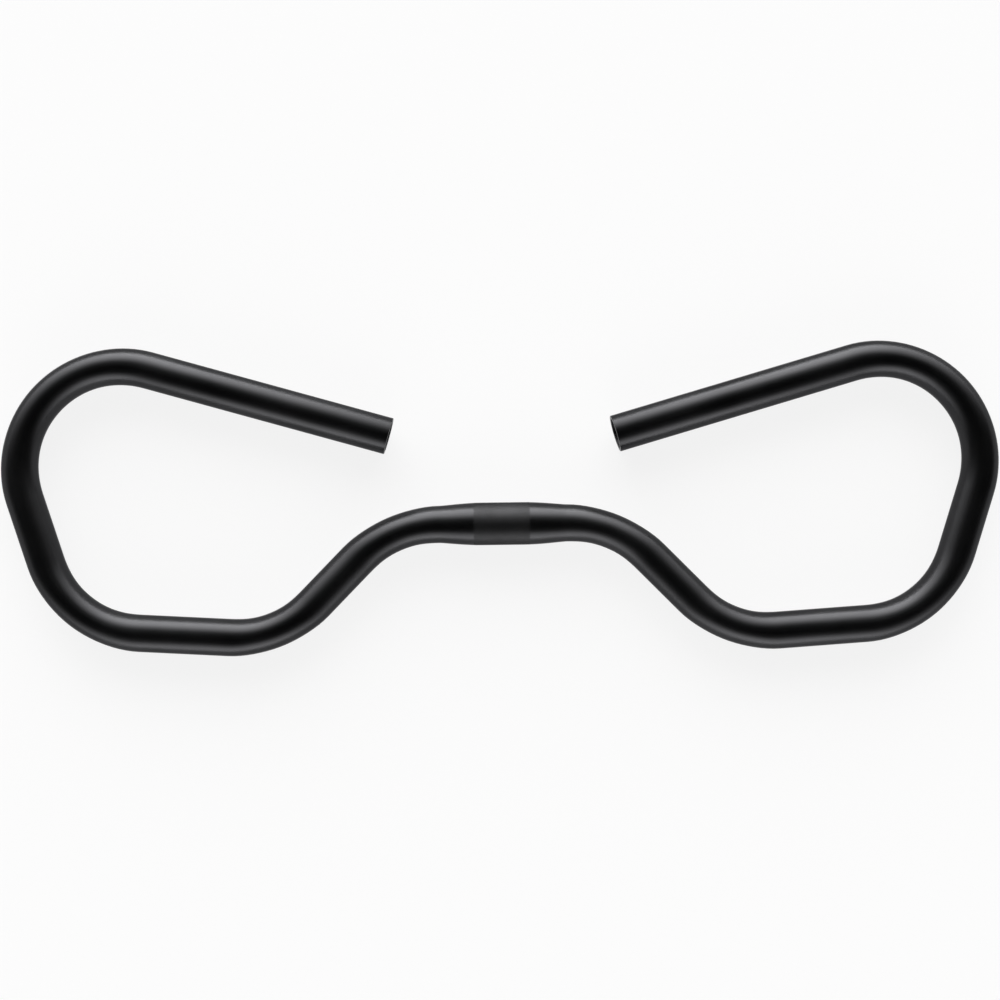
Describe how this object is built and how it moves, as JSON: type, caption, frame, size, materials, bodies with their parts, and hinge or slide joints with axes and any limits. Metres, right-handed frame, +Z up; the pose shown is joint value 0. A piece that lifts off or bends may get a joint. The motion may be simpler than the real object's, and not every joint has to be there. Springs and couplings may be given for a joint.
{
  "type": "multi-position bicycle handlebar",
  "caption": "Butterfly-shaped bicycle handlebar bent from round tube, with a swelled stem clamp in the middle and wings that curl back to open grip tips.",
  "frame": {"origin": "middle of the stem clamp seat, on its axis", "axes": "+X along the clamp axis to the right, +Y to the side where the tips come back, +Z up out of the plane of the bar"},
  "size_m": [0.596, 0.1841, 0.0254],
  "materials": {
    "bar": "satin black anodised"
  },
  "bodies": {
    "root": {"handlebar_tube": "bar"}
  },
  "joints": []
}
